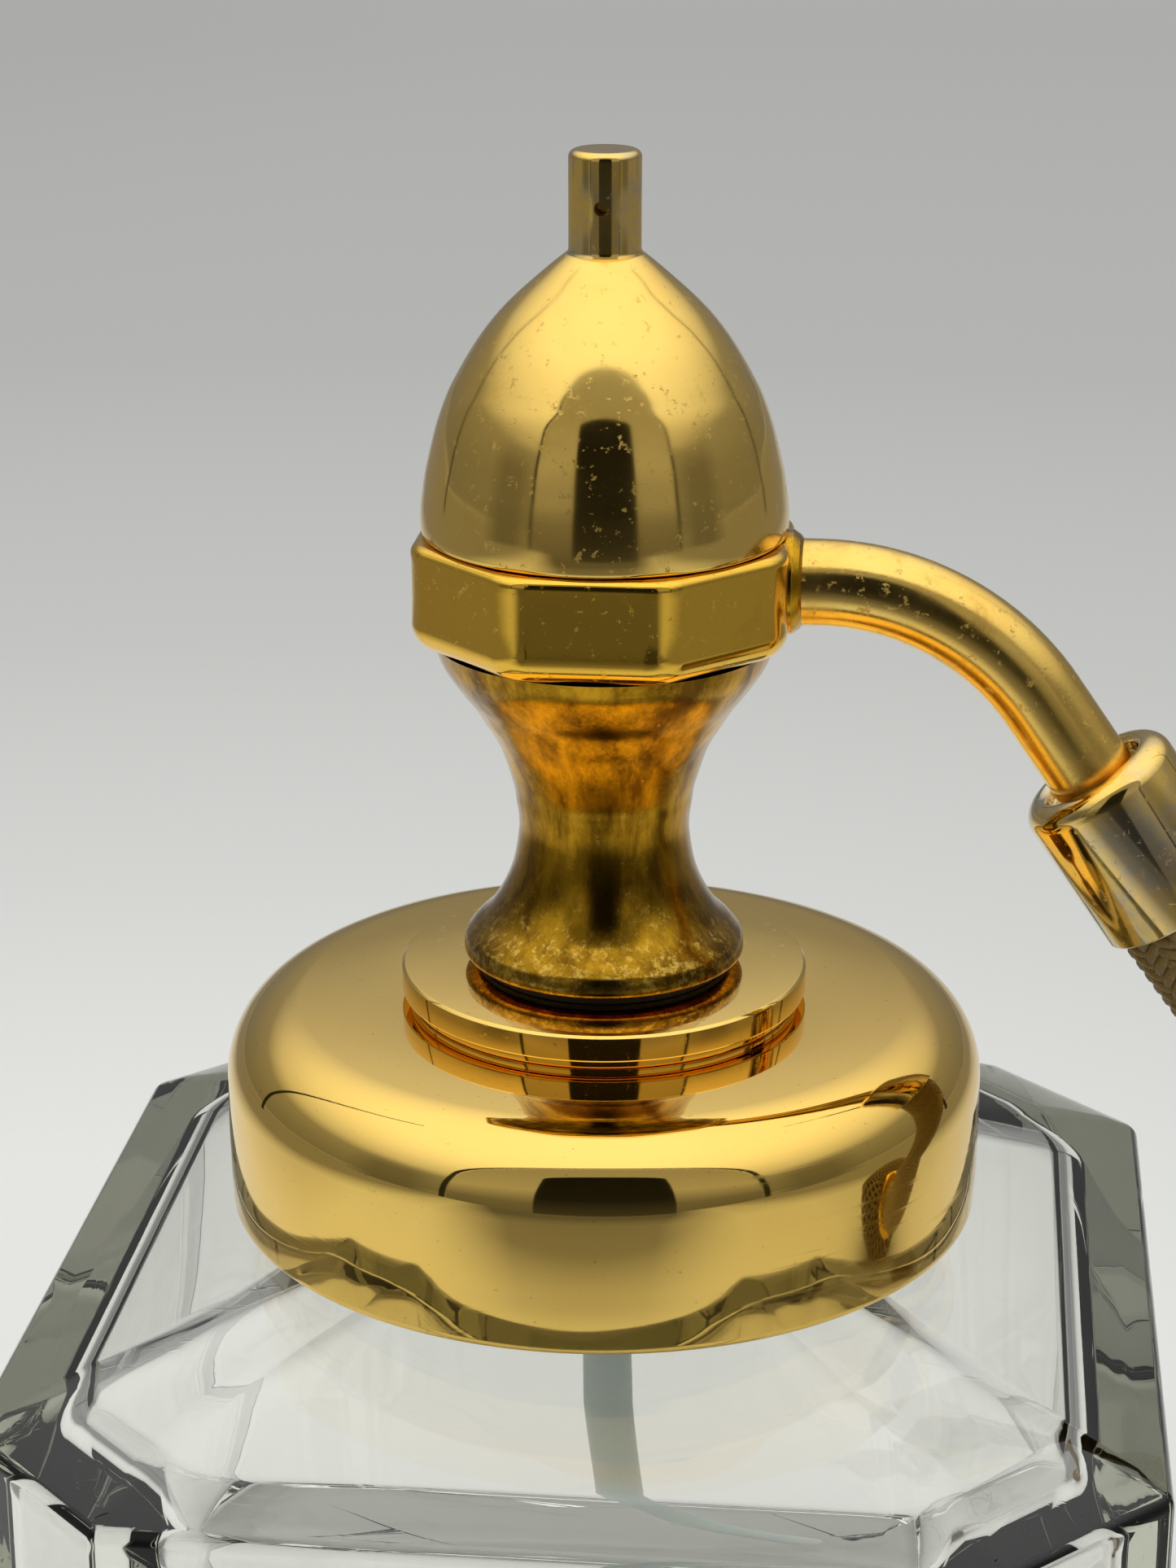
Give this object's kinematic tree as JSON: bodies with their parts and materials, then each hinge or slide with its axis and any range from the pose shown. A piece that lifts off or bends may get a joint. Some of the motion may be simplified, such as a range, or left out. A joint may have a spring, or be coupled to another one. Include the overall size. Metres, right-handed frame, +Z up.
{
  "type": "perfume atomizer bottle",
  "caption": "Squeeze-bulb atomizer: square glass bottle with cut corners, wide cap, screw-in spray head on a waisted stem, braided hose and netted rubber bulb.",
  "frame": {"origin": "centre of the bottle's flat base, on the surface it stands on", "axes": "+Z up along the bottle's axis; the spray leaves towards -Y; the air tube leaves the head towards +X"},
  "size_m": [0.1987, 0.067, 0.1203],
  "materials": {
    "glass": "polished clear pressed glass",
    "gold": "mirror-polished gold plate with light tarnish",
    "brass": "turned, unplated",
    "steel": "bright",
    "black_rubber": "matt",
    "grey_rubber": "matt",
    "bulb_rubber": "soft matt latex",
    "liner_plastic": "moulded",
    "dip_tube_plastic": "translucent natural plastic",
    "braid": "lustrous braided metallic thread"
  },
  "bodies": {
    "bottle": {"glass_bottle": "glass", "cap_shell": "gold", "cap_liner": "liner_plastic", "neck_gasket": "grey_rubber", "neck_plug": "brass", "collar_step": "gold", "collar_flange": "gold"},
    "washer": {"seal_washer": "black_rubber"},
    "head": {"stem": "gold", "spindle": "brass", "octagon_ring": "gold", "spindle_nut": "brass", "dome": "gold", "nozzle_tip": "gold", "spray_jet": "brass", "liquid_tube": "steel", "dip_tube": "dip_tube_plastic", "air_tube": "gold", "solder_collar": "gold", "hose_ferrule": "gold", "hose_barb": "brass", "hose": "braid", "neck_ferrule": "gold", "outlet_valve_body": "brass", "bulb": "bulb_rubber", "bulb_net": "braid"},
    "outlet_ball": {"outlet_valve_ball": "steel"},
    "tail_valve": {"inlet_valve_body": "gold", "inlet_valve_cap": "gold"},
    "inlet_ball": {"inlet_valve_ball": "steel"}
  },
  "joints": [
    {"name": "head_rise", "type": "slide", "parent": "bottle", "child": "washer", "axis": [0, 0, 1], "range_m": [0, 0.00225]},
    {"name": "head_unscrew", "type": "hinge", "parent": "washer", "child": "head", "pos_m": [0, 0, 0.081], "axis": [0, 0, 1], "range_deg": [0, 810]},
    {"name": "outlet_ball_lift", "type": "slide", "parent": "head", "child": "outlet_ball", "axis": [-0.9781, 0, 0.2079], "range_m": [0, 0.0008]},
    {"name": "bulb_squeeze", "type": "slide", "parent": "head", "child": "tail_valve", "axis": [-0.9781, 0, 0.2079], "range_m": [0, 0.008], "stiffness_N_per_m": 900, "deforming": ["bulb", "bulb_net"]},
    {"name": "inlet_ball_lift", "type": "slide", "parent": "tail_valve", "child": "inlet_ball", "axis": [-0.9781, 0, 0.2079], "range_m": [0, 0.0008]}
  ],
  "couplings": [
    {"joint": "head_rise", "follows": "head_unscrew", "m_per_rad": 0.00015915}
  ]
}
